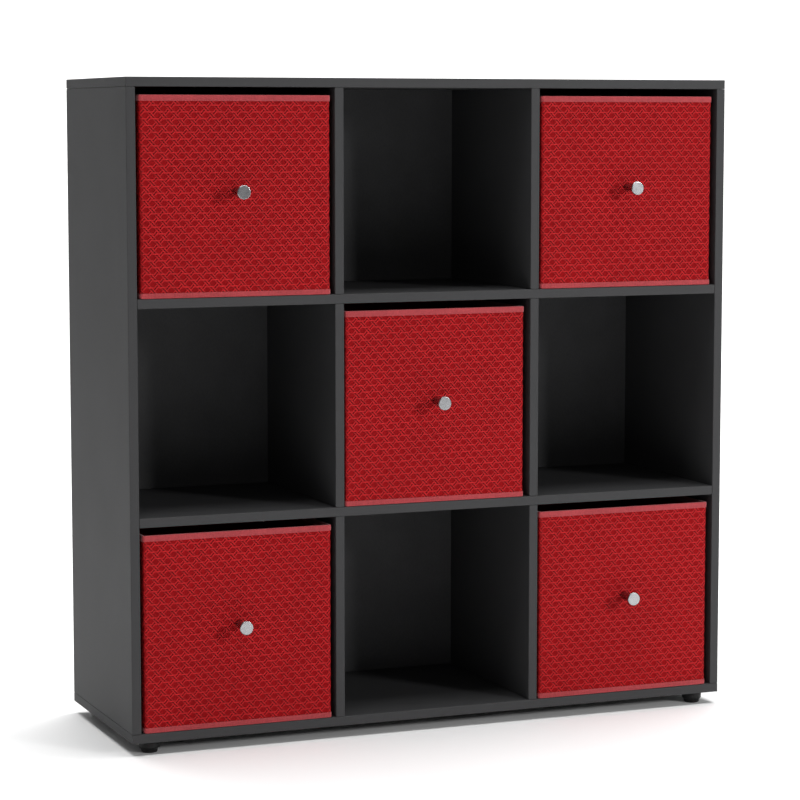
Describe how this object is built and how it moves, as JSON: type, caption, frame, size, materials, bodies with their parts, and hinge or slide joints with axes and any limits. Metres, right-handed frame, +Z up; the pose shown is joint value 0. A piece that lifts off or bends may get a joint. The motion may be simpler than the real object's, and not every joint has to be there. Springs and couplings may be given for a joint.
{
  "type": "cube storage unit",
  "caption": "Free-standing grid of open board compartments on short round feet, with woven pull-out storage boxes in every other compartment, each drawn out by a turned metal knob.",
  "frame": {"origin": "on the floor, at the middle of the width and halfway between the knobs' faces and the boards' back edges", "axes": "+X to the right as seen from the front, -Y out of the open front, +Z up"},
  "size_m": [1.05, 0.3868, 1.07],
  "materials": {
    "board_laminate": "anthracite melamine-faced chipboard with matching edge banding, satin",
    "back_panel": "thin painted hardboard, matt dark grey",
    "foot_plastic": "moulded, black",
    "screw_steel": "bright zinc-plated",
    "box_weave": "red open weave over a stiffened wall",
    "box_binding": "lighter red folded tape",
    "box_insert": "dark red covered board",
    "knob_metal": "turned and satin brushed"
  },
  "bodies": {
    "carcass": {"bottom_panel": "board_laminate", "top_panel": "board_laminate", "side_panel_left": "board_laminate", "side_panel_right": "board_laminate", "shelf_lower": "board_laminate", "shelf_upper": "board_laminate", "divider_bottom_left": "board_laminate", "divider_bottom_right": "board_laminate", "divider_middle_left": "board_laminate", "divider_middle_right": "board_laminate", "divider_top_left": "board_laminate", "divider_top_right": "board_laminate", "back_strip_bottom": "back_panel", "back_strip_middle": "back_panel", "back_strip_top": "back_panel", "foot_left_front": "foot_plastic", "foot_left_rear": "foot_plastic", "foot_right_front": "foot_plastic", "foot_right_rear": "foot_plastic", "foot_screw_left_front": "screw_steel", "foot_screw_left_rear": "screw_steel", "foot_screw_right_front": "screw_steel", "foot_screw_right_rear": "screw_steel", "panel_screw_left_front": "screw_steel", "panel_screw_left_rear": "screw_steel", "panel_screw_right_front": "screw_steel", "panel_screw_right_rear": "screw_steel"},
    "box_bottom_left": {"box_bottom_left_shell": "box_weave", "box_bottom_left_base_insert": "box_insert", "box_bottom_left_top_binding": "box_binding", "box_bottom_left_low_binding": "box_binding", "box_bottom_left_knob": "knob_metal", "box_bottom_left_knob_screw": "screw_steel"},
    "box_bottom_right": {"box_bottom_right_shell": "box_weave", "box_bottom_right_base_insert": "box_insert", "box_bottom_right_top_binding": "box_binding", "box_bottom_right_low_binding": "box_binding", "box_bottom_right_knob": "knob_metal", "box_bottom_right_knob_screw": "screw_steel"},
    "box_centre": {"box_centre_shell": "box_weave", "box_centre_base_insert": "box_insert", "box_centre_top_binding": "box_binding", "box_centre_low_binding": "box_binding", "box_centre_knob": "knob_metal", "box_centre_knob_screw": "screw_steel"},
    "box_top_left": {"box_top_left_shell": "box_weave", "box_top_left_base_insert": "box_insert", "box_top_left_top_binding": "box_binding", "box_top_left_low_binding": "box_binding", "box_top_left_knob": "knob_metal", "box_top_left_knob_screw": "screw_steel"},
    "box_top_right": {"box_top_right_shell": "box_weave", "box_top_right_base_insert": "box_insert", "box_top_right_top_binding": "box_binding", "box_top_right_low_binding": "box_binding", "box_top_right_knob": "knob_metal", "box_top_right_knob_screw": "screw_steel"}
  },
  "joints": [
    {"name": "box_bottom_left_slide", "type": "slide", "parent": "carcass", "child": "box_bottom_left", "axis": [0, -1, 0], "range_m": [0, 0.335]},
    {"name": "box_bottom_right_slide", "type": "slide", "parent": "carcass", "child": "box_bottom_right", "axis": [0, -1, 0], "range_m": [0, 0.335]},
    {"name": "box_centre_slide", "type": "slide", "parent": "carcass", "child": "box_centre", "axis": [0, -1, 0], "range_m": [0, 0.335]},
    {"name": "box_top_left_slide", "type": "slide", "parent": "carcass", "child": "box_top_left", "axis": [0, -1, 0], "range_m": [0, 0.335]},
    {"name": "box_top_right_slide", "type": "slide", "parent": "carcass", "child": "box_top_right", "axis": [0, -1, 0], "range_m": [0, 0.335]}
  ]
}
